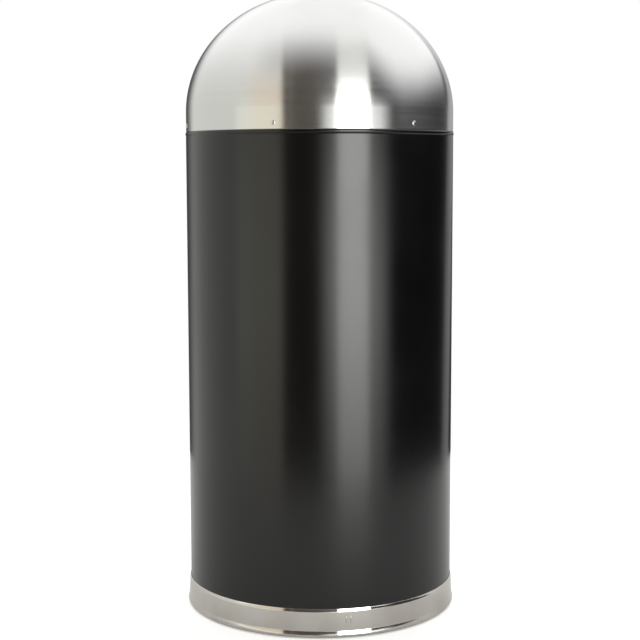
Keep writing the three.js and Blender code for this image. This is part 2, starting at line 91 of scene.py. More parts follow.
def place_camera():
    data = bpy.data.cameras.new("camera")
    data.lens = LENS
    data.sensor_width = 36
    camera = bpy.data.objects.new("camera", data)
    camera.location = to_camera * CAMERA_DISTANCE + UP * (seam - CAMERA_BELOW_SEAM)
    look = (-to_camera * math.cos(CAMERA_TILT) - UP * math.sin(CAMERA_TILT)).normalized()
    aim = look.to_track_quat("-Z", "Y").to_matrix() @ Matrix.Rotation(CAMERA_ROLL, 3, "Z")
    camera.rotation_euler = aim.to_euler()
    bpy.context.scene.collection.objects.link(camera)
    bpy.context.scene.camera = camera


# ---------- node helpers ----------

class Nodes:
    """A node tree with short calls for adding and joining nodes."""

    def __init__(self, tree):
        self.tree = tree

    def add(self, kind, **settings):
        node = self.tree.nodes.new(kind)
        for key, value in settings.items():
            setattr(node, key, value)
        return node

    def join(self, source, target):
        self.tree.links.new(source, target)

    def feed(self, socket, value):
        if isinstance(value, bpy.types.NodeSocket):
            self.join(value, socket)
        else:
            socket.default_value = value

    def math(self, operation, first, second=0.0, third=0.0):
        node = self.add("ShaderNodeMath", operation=operation)
        for socket, value in zip(node.inputs, (first, second, third)):
            self.feed(socket, value)
        return node.outputs[0]

    def smooth(self, value, low, high, out_low=0.0, out_high=1.0):
        node = self.add("ShaderNodeMapRange", interpolation_type="SMOOTHSTEP")
        for key, number in (("Value", value), ("From Min", low), ("From Max", high)):
            self.feed(node.inputs[key], number)
        self.feed(node.inputs["To Min"], out_low)
        self.feed(node.inputs["To Max"], out_high)
        return node.outputs[0]

    def mix(self, factor, first, second):
        node = self.add("ShaderNodeMix", data_type="RGBA")
        self.feed(node.inputs["Factor"], factor)
        self.feed(node.inputs[6], first)
        self.feed(node.inputs[7], second)
        return node.outputs[2]

    def mix_value(self, factor, first, second):
        return self.math("ADD", self.math("MULTIPLY", factor, second - first), first)

    def noise(self, vector, scale, detail=2.0, roughness=0.5):
        node = self.add("ShaderNodeTexNoise")
        self.feed(node.inputs["Vector"], vector)
        self.feed(node.inputs["Scale"], scale)
        self.feed(node.inputs["Detail"], detail)
        self.feed(node.inputs["Roughness"], roughness)
        return node.outputs["Fac"]

    def combine(self, x, y, z):
        node = self.add("ShaderNodeCombineXYZ")
        for socket, value in zip(node.inputs, (x, y, z)):
            self.feed(socket, value)
        return node.outputs[0]

    def separate(self, vector):
        node = self.add("ShaderNodeSeparateXYZ")
        self.feed(node.inputs[0], vector)
        return node.outputs

    def object_place(self):
        return self.add("ShaderNodeTexCoord").outputs["Object"]


def new_group(name, inputs, outputs):
    """A shader node group with float sockets: its nodes, its given values and what it puts out."""
    tree = bpy.data.node_groups.new(name, "ShaderNodeTree")
    for label, default in inputs:
        socket = tree.interface.new_socket(label, in_out="INPUT", socket_type="NodeSocketFloat")
        socket.default_value = default
    for label in outputs:
        tree.interface.new_socket(label, in_out="OUTPUT", socket_type="NodeSocketFloat")
    nodes = Nodes(tree)
    return nodes, nodes.add("NodeGroupInput").outputs, nodes.add("NodeGroupOutput").inputs


def brushing_group():
    """Fine lines that run round the upright axis, as a spun or belt-polished sheet has."""
    nodes, given, out = new_group(
        "brushing", [("Lines", 1500.0), ("Drift", 3.0)], ["Height", "Mask"])
    x, y, z = nodes.separate(nodes.object_place())
    squares = nodes.math("ADD", nodes.math("MULTIPLY", x, x), nodes.math("MULTIPLY", y, y))
    radius = nodes.math("SQRT", squares)
    turn = nodes.math("ARCTAN2", y, x)
    run = nodes.math("SUBTRACT", z, nodes.math("MULTIPLY", radius, 0.8))
    across = nodes.math("MULTIPLY", run, given["Lines"])
    seam_free = nodes.combine(
        nodes.math("MULTIPLY", nodes.math("COSINE", turn), given["Drift"]),
        nodes.math("MULTIPLY", nodes.math("SINE", turn), given["Drift"]),
        across)
    fine = nodes.noise(seam_free, 1.0, 3.0, 0.65)
    broad = nodes.noise(seam_free, 0.13, 2.0, 0.5)
    nodes.join(fine, out["Height"])
    nodes.join(nodes.math("MULTIPLY", nodes.math("ADD", fine, broad), 0.5), out["Mask"])
    return nodes.tree


def handling_group():
    """Soft smears and faint spots that hands, cloths and rain leave on a surface."""
    nodes, given, out = new_group("handling", [("Size", 9.0)], ["Smears", "Spots"])
    place = nodes.object_place()
    smears = nodes.noise(place, given["Size"], 4.0, 0.6)
    spots = nodes.noise(place, nodes.math("MULTIPLY", given["Size"], 24.0), 2.0, 0.5)
    nodes.join(nodes.smooth(smears, 0.38, 0.72), out["Smears"])
    nodes.join(nodes.smooth(spots, 0.66, 0.78), out["Spots"])
    return nodes.tree


def grain_group():
    """The fine pebbling of a powder coat, rubber or moulded plastic."""
    nodes, given, out = new_group("grain", [("Size", 900.0)], ["Height"])
    place = nodes.object_place()
    coarse = nodes.noise(place, given["Size"], 2.0, 0.5)
    fine = nodes.noise(place, nodes.math("MULTIPLY", given["Size"], 3.1), 1.0, 0.5)
    nodes.join(nodes.math("ADD", nodes.math("MULTIPLY", fine, 0.35), coarse), out["Height"])
    return nodes.tree


def spangle_group():
    """The crystal flakes of a zinc coating."""
    nodes, given, out = new_group("spangle", [("Size", 95.0)], ["Flake", "Height"])
    place = nodes.object_place()
    cells = nodes.add("ShaderNodeTexVoronoi")
    nodes.join(place, cells.inputs["Vector"])
    nodes.feed(cells.inputs["Scale"], given["Size"])
    flake = nodes.separate(cells.outputs["Color"])[0]
    nodes.join(flake, out["Flake"])
    nodes.join(nodes.math("ADD", flake, nodes.noise(place, 600.0, 2.0)), out["Height"])
    return nodes.tree


def placed(nodes, tree, **values):
    """One use of a group, with its own values."""
    node = nodes.add("ShaderNodeGroup", node_tree=tree)
    for key, value in values.items():
        node.inputs[key].default_value = value
    return node.outputs


def bumped(nodes, height, strength, distance):
    bump = nodes.add("ShaderNodeBump")
    bump.inputs["Strength"].default_value = strength
    bump.inputs["Distance"].default_value = distance
    nodes.join(height, bump.inputs["Height"])
    return bump.outputs[0]


def shader(name, **constants):
    """A new material, its nodes and its surface's inputs."""
    material = bpy.data.materials.new(name)
    material.use_nodes = True
    surface = material.node_tree.nodes["Principled BSDF"]
    for key, value in constants.items():
        surface.inputs[key.replace("_", " ")].default_value = value
    return material, Nodes(material.node_tree), surface.inputs


# ---------- materials ----------

def brushed_stainless(groups):
    material, nodes, surface = shader(
        "brushed_stainless", Metallic=1.0, Anisotropic=0.85, Anisotropic_Rotation=0.25)
    lines = placed(nodes, groups["brushing"], Lines=2600.0, Drift=3.0)
    marks = placed(nodes, groups["handling"], Size=9.0)
    tone = nodes.mix(lines["Mask"], (0.585, 0.585, 0.575, 1), (0.635, 0.635, 0.625, 1))
    film = nodes.math("MULTIPLY", marks["Smears"], 0.1)
    nodes.join(nodes.mix(film, tone, (0.52, 0.515, 0.5, 1)), surface["Base Color"])
    rough = nodes.smooth(lines["Mask"], 0.3, 0.7, 0.17, 0.22)
    dulled = nodes.math("MULTIPLY", marks["Smears"], 0.05)
    nodes.join(nodes.math("ADD", rough, dulled), surface["Roughness"])
    nodes.join(bumped(nodes, lines["Height"], 0.03, 0.0002), surface["Normal"])
    return material


def polished_stainless(groups):
    material, nodes, surface = shader(
        "polished_stainless", Metallic=1.0, Anisotropic=0.3, Anisotropic_Rotation=0.25)
    lines = placed(nodes, groups["brushing"], Lines=1500.0, Drift=2.0)
    marks = placed(nodes, groups["handling"], Size=14.0)
    tone = nodes.mix(marks["Smears"], (0.62, 0.6, 0.56, 1), (0.54, 0.515, 0.475, 1))
    nodes.join(tone, surface["Base Color"])
    rough = nodes.smooth(lines["Mask"], 0.3, 0.7, 0.05, 0.085)
    dulled = nodes.math("MULTIPLY", marks["Smears"], 0.04)
    nodes.join(nodes.math("ADD", rough, dulled), surface["Roughness"])
    nodes.join(bumped(nodes, lines["Height"], 0.06, 0.0002), surface["Normal"])
    return material


def black_coat(groups):
    material, nodes, surface = shader("black_coat", Metallic=0.0, IOR=1.5)
    grain = placed(nodes, groups["grain"], Size=620.0)
    marks = placed(nodes, groups["handling"], Size=6.0)
    tone = nodes.mix(marks["Smears"], (0.0011, 0.0011, 0.0012, 1), (0.0019, 0.0019, 0.0018, 1))
    dust = nodes.math("MULTIPLY", marks["Spots"], 0.25)
    nodes.join(nodes.mix(dust, tone, (0.008, 0.008, 0.0075, 1)), surface["Base Color"])
    nodes.join(nodes.smooth(marks["Smears"], 0.0, 1.0, 0.19, 0.225), surface["Roughness"])
    nodes.join(bumped(nodes, grain["Height"], 0.09, 0.0003), surface["Normal"])
    return material


def galvanised(groups):
    material, nodes, surface = shader("galvanised", Metallic=1.0)
    flakes = placed(nodes, groups["spangle"], Size=95.0)
    marks = placed(nodes, groups["handling"], Size=8.0)
    tone = nodes.mix(flakes["Flake"], (0.4, 0.42, 0.43, 1), (0.56, 0.575, 0.58, 1))
    film = nodes.math("MULTIPLY", marks["Smears"], 0.4)
    nodes.join(nodes.mix(film, tone, (0.34, 0.34, 0.335, 1)), surface["Base Color"])
    nodes.join(nodes.smooth(flakes["Flake"], 0.0, 1.0, 0.36, 0.52), surface["Roughness"])
    nodes.join(bumped(nodes, flakes["Height"], 0.08, 0.0004), surface["Normal"])
    return material


def spring_steel(groups):
    material, nodes, surface = shader("spring_steel", Metallic=1.0)
    marks = placed(nodes, groups["handling"], Size=60.0)
    tone = nodes.mix(marks["Smears"], (0.3, 0.3, 0.31, 1), (0.19, 0.185, 0.18, 1))
    nodes.join(tone, surface["Base Color"])
    nodes.join(nodes.smooth(marks["Smears"], 0.0, 1.0, 0.24, 0.42), surface["Roughness"])
    return material


def dark_moulding(groups, name, size, rough):
    """Rubber or moulded plastic, told apart by the size of its grain and its roughness."""
    material, nodes, surface = shader(name, Metallic=0.0)
    grain = placed(nodes, groups["grain"], Size=size)
    marks = placed(nodes, groups["handling"], Size=30.0)
    tone = nodes.mix(marks["Smears"], (0.014, 0.014, 0.014, 1), (0.03, 0.029, 0.028, 1))
    nodes.join(tone, surface["Base Color"])
    nodes.join(nodes.smooth(marks["Smears"], 0.0, 1.0, rough, rough + 0.15), surface["Roughness"])
    nodes.join(bumped(nodes, grain["Height"], 0.25, 0.0004), surface["Normal"])
    return material


def make_materials():
    groups = {
        "brushing": brushing_group(),
        "handling": handling_group(),
        "grain": grain_group(),
        "spangle": spangle_group(),
    }
    return {
        "brushed_stainless": brushed_stainless(groups),
        "polished_stainless": polished_stainless(groups),
        "black_coat": black_coat(groups),
        "galvanised": galvanised(groups),
        "spring_steel": spring_steel(groups),
        "black_rubber": dark_moulding(groups, "black_rubber", 700.0, 0.65),
        "grip_plastic": dark_moulding(groups, "grip_plastic", 1100.0, 0.45),
    }


materials = make_materials()
slot_of = {part["node"]: part["material_slot"] for part in frame["record"]["subparts"]}

# ---------- mesh helpers ----------


def arc(centre, radii, start, end, steps):
    """Points of an ellipse's arc in (radius, height), angles in degrees from level."""
    points = []
    for step in range(steps + 1):
        angle = math.radians(start + (end - start) * step / steps)
        across, height = radii[0] * math.cos(angle), radii[1] * math.sin(angle)
        points.append((centre[0] + across, centre[1] + height))
    return points


MERGE = 0.01 * MM


def spun(outline, steps=192, closed=True):
    """A solid of revolution about +Z from a (radius, height) outline."""
    bm = bmesh.new()
    verts = [bm.verts.new((radius, 0, height)) for radius, height in outline]
    pairs = list(zip(verts, verts[1:]))
    if closed:
        pairs.append((verts[-1], verts[0]))
    edges = [bm.edges.new(pair) for pair in pairs]
    bmesh.ops.spin(bm, geom=verts + edges, cent=(0, 0, 0), axis=(0, 0, 1), dvec=(0, 0, 0),
                   angle=2 * math.pi, steps=steps, use_merge=True)
    bmesh.ops.remove_doubles(bm, verts=bm.verts, dist=MERGE)
    bmesh.ops.recalc_face_normals(bm, faces=bm.faces)
    return bm


def aimed(bm, place, direction):
    """Turns a piece made along +Z to point along a direction, and moves it there."""
    turn = direction.to_track_quat("Z", "Y").to_matrix().to_4x4()
    bmesh.ops.transform(bm, matrix=Matrix.Translation(place) @ turn, verts=bm.verts)
    return bm


def verts_in(made):
    return [item for item in made["geom"] if isinstance(item, bmesh.types.BMVert)]


def carried(bm, step):
    """A flat face carried along a step into a closed block."""
    grown = bmesh.ops.extrude_face_region(bm, geom=bm.faces[:])
    bmesh.ops.translate(bm, vec=step, verts=verts_in(grown))
    bmesh.ops.recalc_face_normals(bm, faces=bm.faces)
    return bm


def middle_of(node):
    low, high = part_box(node)
    return (low + high) / 2


def finish_piece(name, bm, body, material, *nodes, sharp=35):
    """Makes the bmesh an object that rides a body and stands in for the CAD nodes named."""
    mesh = bpy.data.meshes.new(name)
    bm.to_mesh(mesh)
    bm.free()
    mesh.shade_smooth()
    mesh.set_sharp_from_angle(angle=math.radians(sharp))
    piece = bpy.data.objects.new(name, mesh)
    bpy.context.scene.collection.objects.link(piece)
    piece.data.materials.append(materials[material])
    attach(piece, body)
    if nodes:
        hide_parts(*nodes)
    return piece


def cut_mesh(bm, cutter, operation):
    """The first bmesh cut by, or kept inside, the second."""
    pieces = []
    for source in (bm, cutter):
        mesh = bpy.data.meshes.new("cut")
        source.to_mesh(mesh)
        source.free()
        piece = bpy.data.objects.new("cut", mesh)
        bpy.context.scene.collection.objects.link(piece)
        pieces.append(piece)
    modifier = pieces[0].modifiers.new("cut", "BOOLEAN")
    modifier.operation = operation
    modifier.solver = "EXACT"
    modifier.object = pieces[1]
    result = bmesh.new()
    result.from_object(pieces[0], bpy.context.evaluated_depsgraph_get())
    for piece in pieces:
        bpy.data.objects.remove(piece)
    return result


def plate(outline, axis, low, high, edge):
    """A flat outline carried from low to high along X, Y or Z, with its edges rounded.

    The outline's two numbers are the other two axes in their usual order.
    """
    bm = bmesh.new()
    verts = []
    at = "XYZ".index(axis)
    for pair in outline:
        place = list(pair)
        place.insert(at, low)
        verts.append(bm.verts.new(place))
    bm.faces.new(verts)
    step = Vector((0, 0, 0))
    step[at] = high - low
    carried(bm, step)
    if edge:
        bmesh.ops.bevel(bm, geom=bm.edges[:], offset=edge, offset_type="OFFSET", affect="EDGES",
                        segments=2, profile=0.5, material=-1, clamp_overlap=True)
    return bm


def pin(radius, start, end, steps=32):
    """A round bar between two places."""
    bm = bmesh.new()
    run = end - start
    bmesh.ops.create_cone(bm, cap_ends=True, segments=steps, radius1=radius, radius2=radius,
                          depth=run.length)
    return aimed(bm, (start + end) / 2, run.normalized())


# ---------- body, base and feet ----------

FLOOR_GAP = band_low.z
BAND_TOP = band_high.z
BAND_FLARE = band_high.x - body_radius
BAND_FACE = 1.5 * MM
BAND_SKIRT = 2.6 * MM
COVE_TOP = FLOOR_GAP + 10.8 * MM
LIP_LOW = BAND_TOP - 6 * MM
FACE_LEAN = math.atan2(BAND_SKIRT - BAND_FACE, LIP_LOW - COVE_TOP)


def make_body_shell():
    """The coated cylinder, with a shallow bead rolled round its top over a fine groove."""
    rim_low = body_top - RIM_HEIGHT
    bead_low = rim_low + RIM_GROOVE
    groove_depth = 0.4 * MM
    bead = arc((body_radius - groove_depth, (bead_low + body_top) / 2),
               (RIM_BULGE + groove_depth, (body_top - bead_low) / 2), -90, 90, 20)
    inner = body_radius - SHEET
    foot = 2 * FLOOR_GAP
    plain = 20 * MM
    outline = [
        (inner, foot),
        (body_radius, foot),
        (body_radius, BAND_TOP + plain),
        (body_radius, rim_low - plain),
        (body_radius, rim_low - 1 * MM),
        (body_radius, rim_low),
        *bead,
        (inner, body_top - 0.6 * MM),
        (inner, rim_low - plain),
    ]
    finish_piece("body_skin", spun(outline, 256), "body", "black_coat", "body_shell", sharp=50)


def band_outline():
    """The band's outside: a bottom bead, a slope, a face that leans in a little and a sloped lip."""
    bead_reach, bead_half = 2.4 * MM, 3.4 * MM
    foot = arc((body_radius + BAND_FLARE - bead_reach, FLOOR_GAP + bead_half),
               (bead_reach, bead_half), -90, 10, 16)
    skirt = body_radius + BAND_SKIRT
    slope = [
        (skirt + 0.14 * MM, COVE_TOP - 2.2 * MM),
        (skirt + 0.04 * MM, COVE_TOP - 1.7 * MM),
        (skirt, COVE_TOP - 1 * MM),
    ]
    face = body_radius + BAND_FACE
    lip = [
        (face, LIP_LOW + 1.4 * MM),
        (face - 0.06 * MM, LIP_LOW + 2.1 * MM),
        (face - 0.2 * MM, LIP_LOW + 2.7 * MM),
        (face - 0.94 * MM, BAND_TOP - 0.4 * MM),
        *arc((face - 1.2 * MM, BAND_TOP - 0.3 * MM), (0.25 * MM, 0.3 * MM), 18, 90, 6),
    ]
    return [*foot, *slope, *lip]


def make_base_band():
    seat = body_radius + 0.2 * MM
    ledge = FLOOR_GAP + 1.2 * MM
    reach = body_radius - 3 * MM
    back = [(seat, BAND_TOP - 0.3 * MM), (seat, ledge), (reach, ledge)]
    outline = [(reach, FLOOR_GAP), *band_outline(), *back]
    bm = spun(outline, 256)
    finish_piece("base_band_skin", bm, "body", "polished_stainless", "base_band", sharp=50)


def make_band_stitches():
    """Two upright pressed ridges that lock the band's ends together."""
    for side in ("left", "right"):
        node = f"band_stitch_{side}"
        low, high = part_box(node)
        bm = bmesh.new()
        bmesh.ops.create_uvsphere(bm, u_segments=24, v_segments=16, radius=1)
        middle = (low + high) / 2
        face = body_radius + BAND_SKIRT - (middle.z - COVE_TOP) * math.tan(FACE_LEAN)
        size = Vector((0.9 * MM, 0.95 * MM, (high.z - low.z) / 2))
        place = Matrix.Translation((middle.x, face + 0.15 * MM, middle.z))
        leaning = place @ Matrix.Rotation(FACE_LEAN, 4, "X")
        bmesh.ops.transform(bm, matrix=leaning @ Matrix.Diagonal((*size, 1)), verts=bm.verts)
        finish_piece(f"{node}_ridge", bm, "body", "polished_stainless", node)


def make_pan():
    """The dished floor inside the body."""
    low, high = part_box("bottom_pan")
    wall = SHEET_PAN
    bend = 4 * MM
    outer = high.x
    outline = [
        (0, low.z),
        *arc((outer - bend, low.z + bend), (bend, bend), -90, 0, 8),
        (outer, high.z),
        (outer - wall, high.z),
        *arc((outer - bend, low.z + bend), (bend - wall, bend - wall), 0, -90, 8),
        (0, low.z + wall),
    ]
    bm = spun(outline, 128, closed=False)
    finish_piece("bottom_pan_sheet", bm, "body", "galvanised", "bottom_pan")


def make_foot_pad(node):
    """A rubber foot with a hole from above for its rivet."""
    low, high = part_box(node)
    radius = (high.x - low.x) / 2
    toe, ease, hole, floor = 1.2 * MM, 0.6 * MM, 2.3 * MM, 2.5 * MM
    outline = [
        (0, 0),
        *arc((radius - 2 * toe, toe), (toe, toe), -90, 0, 6),
        (radius - 0.5 * MM, high.z - 1 * MM),
        *arc((radius - ease, high.z - ease), (ease, ease), 0, 90, 4),
        (hole, high.z),
        (hole, floor),
        (0, floor),
    ]
    return spun(outline, 48, closed=False)


def make_foot_rivet(node):
    low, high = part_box(node)
    shank, head, rise = 1.8 * MM, 4.9 * MM, 1.7 * MM
    outline = [
        (0, low.z),
        (shank - 0.3 * MM, low.z),
        (shank, low.z + 0.4 * MM),
        (shank, high.z - rise),
        *arc((0, high.z - rise), (head, rise), 4, 90, 8),
    ]
    return spun(outline, 32, closed=False)


def make_feet():
    for number in range(1, 5):
        foot, rivet = f"base_foot_{number}", f"foot_rivet_{number}"
        middle = middle_of(foot)
        for node, bm, suffix, material in ((foot, make_foot_pad(foot), "pad", "black_rubber"),
                                           (rivet, make_foot_rivet(rivet), "head", "galvanised")):
            bmesh.ops.translate(bm, vec=(middle.x, middle.y, 0), verts=bm.verts)
            finish_piece(f"{node}_{suffix}", bm, "body", material, node)


# ---------- dome ----------

def dome_radius_at(inset, height):
    share = (height - shoulder) / (dome_rise - inset)
    return (dome_radius - inset) * math.sqrt(max(0.0, 1 - share * share))


def dome_arc(inset, steps=72):
    points = arc((0, shoulder), (dome_radius - inset, dome_rise - inset), 0, 90, steps)
    points[-1] = (0, points[-1][1])
    return points


def dome_layer(outer_inset, inner_inset, low, steps):
    """A sheet that follows the dome between two depths under its outside, down to a height."""
    outer, inner = dome_arc(outer_inset), dome_arc(inner_inset)
    outline = [*inner[::-1], (inner[0][0], low), (outer[0][0], low), *outer]
    return spun(outline, steps, closed=False)


OPENING_HALF = 104 * MM
OPENING_LOW = seam + 31.5 * MM
OPENING_TOP = OPENING_LOW + 106 * MM
FLAP_OVERLAP = 11 * MM
FLAP_INSET = 2.5 * MM
FLAP_SHEET = 1.0 * MM
LOW_CORNER = 20 * MM
TOP_CORNER = 50 * MM


def opening_face(margin):
    """The opening's outline as one face in the X-Z plane, grown by a margin all round."""
    bm = bmesh.new()
    half = OPENING_HALF + margin
    low, top = OPENING_LOW - margin, OPENING_TOP + margin
    corners = [bm.verts.new(place) for place in
               ((-half, 0, low), (half, 0, low), (half, 0, top), (-half, 0, top))]
    bm.faces.new(corners)
    for pair, radius in ((corners[:2], LOW_CORNER), (corners[2:], TOP_CORNER)):
        bmesh.ops.bevel(bm, geom=pair, offset=radius + margin, offset_type="OFFSET", affect="VERTICES",
                        segments=20, profile=0.5, material=-1)
    return bm


def opening_block(margin):
    """The outline carried through the dome's front."""
    bm = opening_face(margin)
    clear = 1.3 * dome_radius
    bmesh.ops.translate(bm, vec=(0, -clear, 0), verts=bm.verts)
    return carried(bm, (0, clear + hinge.y, 0))


def dome_normal(place):
    """Which way the dome's outside faces at a place on it."""
    if place.z <= shoulder:
        return Vector((place.x, place.y, 0)).normalized()
    flat, tall = dome_radius ** 2, dome_rise ** 2
    return Vector((place.x / flat, place.y / flat, (place.z - shoulder) / tall)).normalized()


def shade_on_form(piece):
    """Gives a cut sheet the exact smooth normals of the dome's form."""
    mesh = piece.data
    normals = [Vector()] * len(mesh.loops)
    least_alike = 0.97
    for face in mesh.polygons:
        for index in face.loop_indices:
            true = dome_normal(mesh.vertices[mesh.loops[index].vertex_index].co)
            facing = face.normal.dot(true)
            on_form = abs(facing) > least_alike
            normals[index] = true * math.copysign(1, facing) if on_form else face.normal.copy()
    mesh.normals_split_custom_set(normals)


def make_dome_shell():
    """The dome with its straight skirt, a hem folded inside its foot, and the opening."""
    inner = dome_arc(SHEET)[::-1]
    hem_inner = dome_radius - 2 * MM
    hem_top = seam + 5 * MM
    edge = 0.6 * MM
    outline = [
        *inner,
        (dome_radius - SHEET, hem_top + 1 * MM),
        (hem_inner + 0.4 * MM, hem_top),
        (hem_inner, hem_top - 0.6 * MM),
        (hem_inner, seam + edge),
        *arc((hem_inner + edge, seam + edge), (edge, edge), 180, 270, 5),
        *arc((dome_radius - edge, seam + edge), (edge, edge), 270, 360, 6),
        *dome_arc(0),
    ]
    bm = cut_mesh(spun(outline, 288, closed=False), opening_block(0), "DIFFERENCE")
    shade_on_form(finish_piece("dome_skin", bm, "dome", "brushed_stainless", "dome_shell"))


def make_opening_edge():
    """The rounded fold that finishes the opening's edge."""
    bm = opening_face(0)
    straights = [edge for edge in bm.edges if edge.calc_length() > 12 * MM]
    bmesh.ops.subdivide_edges(bm, edges=straights, cuts=24)
    ring = [vert.co.copy() for vert in bm.faces[:][0].verts]
    bm.free()
    curve = bpy.data.curves.new("opening_edge", "CURVE")
    curve.dimensions = "3D"
    curve.bevel_depth = 1.05 * MM
    curve.bevel_resolution = 5
    spline = curve.splines.new("POLY")
    spline.points.add(len(ring) - 1)
    spline.use_cyclic_u = True
    for point, place in zip(spline.points, ring):
        radius = dome_radius_at(0.45 * MM, place.z)
        point.co = (place.x, -math.sqrt(radius ** 2 - place.x ** 2), place.z, 1)
    holder = bpy.data.objects.new("opening_edge_curve", curve)
    bpy.context.scene.collection.objects.link(holder)
    seen = holder.evaluated_get(bpy.context.evaluated_depsgraph_get())
    bm = bmesh.new()
    bm.from_mesh(bpy.data.meshes.new_from_object(seen))
    bpy.data.objects.remove(holder)
    bmesh.ops.remove_doubles(bm, verts=bm.verts, dist=MERGE)
    bmesh.ops.recalc_face_normals(bm, faces=bm.faces)
    finish_piece("opening_edge", bm, "dome", "brushed_stainless")


def make_collar():
    """The ring under the dome that plugs into the body, with its lower edge eased."""
    low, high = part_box("dome_collar")
    outer = high.x
    wall = SHEET_COLLAR
    ease = (0.6 * MM, 2 * MM)
    outline = [
        (outer - wall, low.z),
        *arc((outer - ease[0], low.z + ease[1]), ease, -90, 0, 6),
        (outer, high.z),
        (outer - wall, high.z),
    ]
    finish_piece("dome_collar_ring", spun(outline, 192), "dome", "galvanised", "dome_collar")


def rivet_form(head, rise, shank, length, tail):
    """A rivet along +Z with its domed head standing on z = 0 and its closed tail below."""
    foot = 0.8 * MM
    dome = arc((0, 0), (head, rise), 8, 90, 10)
    dome[-1] = (0, rise)
    outline = [
        (0, -length - foot),
        (tail * 0.8, -length - foot),
        (tail, -length - foot * 0.5),
        (tail, -length),
        (shank, -length),
        (shank, 0),
        (head, 0),
        *dome,
    ]
    return spun(outline, 40, closed=False)


def make_dome_rivets():
    for number in range(1, 7):
        node = f"dome_rivet_{number}"
        middle = middle_of(node)
        out = Vector((middle.x, middle.y, 0)).normalized()
        place = out * (dome_radius + 0.02 * MM)
        place.z = middle.z
        bm = rivet_form(head=3.3 * MM, rise=1.2 * MM, shank=1.2 * MM, length=4.1 * MM, tail=2.2 * MM)
        finish_piece(f"{node}_head", aimed(bm, place, out), "dome", "brushed_stainless", node)


def make_bracket_rivets():
    for side in ("left", "right"):
        for spot in ("front", "rear"):
            node = f"bracket_rivet_{side}_{spot}"
            middle = middle_of(node)
            spread = (middle.x ** 2 + middle.y ** 2) / dome_radius ** 2
            on_form = Vector((middle.x, middle.y, shoulder + dome_rise * math.sqrt(1 - spread)))
            out = dome_normal(on_form)
            place = middle + out * (on_form - middle).dot(out)
            bm = rivet_form(head=2.6 * MM, rise=1.15 * MM, shank=1.3 * MM, length=4.6 * MM,
                            tail=2.4 * MM)
            finish_piece(f"{node}_head", aimed(bm, place, out), "dome", "brushed_stainless", node)


ROD_HOLE = 2.75 * MM


def make_brackets():
    """Each bracket is a pad riveted under the dome and a cheek that hangs from it and holds the rod."""
    under, wall = 1.4 * MM, 2 * MM
    pad_half, cheek_half, corner = 14 * MM, 7 * MM, 5 * MM
    front, rear = hinge.y - pad_half, hinge.y + pad_half
    tip = hinge.z - 6 * MM
    cheek_outline = [
        (hinge.y - cheek_half, dome_top),
        *arc((hinge.y - cheek_half + corner, tip + corner), (corner, corner), 180, 270, 8),
        *arc((hinge.y + cheek_half - corner, tip + corner), (corner, corner), 270, 360, 8),
        (hinge.y + cheek_half, dome_top),
    ]
    inside_outline = [(0, seam), (dome_radius - (under + wall), seam), *dome_arc(under + 0.2 * MM)]
    for side, sign in (("left", -1), ("right", 1)):
        node = f"hinge_bracket_{side}"
        low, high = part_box(node)
        pad_outline = [(low.x, front), (high.x, front), (high.x, rear), (low.x, rear)]
        layer = dome_layer(under, under + wall, seam, 96)
        pad = cut_mesh(layer, plate(pad_outline, "Z", shoulder, dome_top, 0), "INTERSECT")
        finish_piece(f"{node}_pad", pad, "dome", "galvanised", node)
        cheek_low = high.x - wall if sign > 0 else low.x
        cheek = plate(cheek_outline, "X", cheek_low, cheek_low + wall, 0.25 * MM)
        cheek = cut_mesh(cheek, spun(inside_outline, 96, closed=False), "INTERSECT")
        reach = Vector((10 * MM, 0, 0))
        middle = Vector((cheek_low + wall / 2, hinge.y, hinge.z))
        cheek = cut_mesh(cheek, pin(ROD_HOLE, middle - reach, middle + reach), "DIFFERENCE")
        finish_piece(f"{node}_cheek", cheek, "dome", "galvanised")


def make_rod():
    low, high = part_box("hinge_rod")
    bm = bmesh.new()
    radius = (high.z - low.z) / 2
    bmesh.ops.create_cone(bm, cap_ends=True, segments=32, radius1=radius, radius2=radius,
                          depth=high.x - low.x)
    rims = [edge for edge in bm.edges if abs(edge.verts[0].co.z - edge.verts[1].co.z) < MERGE]
    bmesh.ops.bevel(bm, geom=rims, offset=0.6 * MM, offset_type="OFFSET", affect="EDGES", segments=3,
                    profile=0.5, material=-1)
    aimed(bm, hinge, Vector((1, 0, 0)))
    finish_piece("hinge_rod_bar", bm, "dome", "spring_steel", "hinge_rod")


def make_rod_caps():
    for side, sign in (("left", -1), ("right", 1)):
        low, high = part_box(f"rod_cap_{side}")
        radius = (high.z - low.z) / 2
        length = high.x - low.x
        bore, crown = 2.6 * MM, 1 * MM
        outline = [
            (bore, 0),
            (radius - 0.4 * MM, 0),
            *arc((radius - crown, 1 * MM), (crown, length - 1.4 * MM), 0, 90, 6),
            (bore, length),
        ]
        inner = low.x if sign > 0 else high.x
        bm = aimed(spun(outline, 32), Vector((inner, hinge.y, hinge.z)), Vector((sign, 0, 0)))
        finish_piece(f"rod_cap_{side}_nut", bm, "dome", "spring_steel", f"rod_cap_{side}")


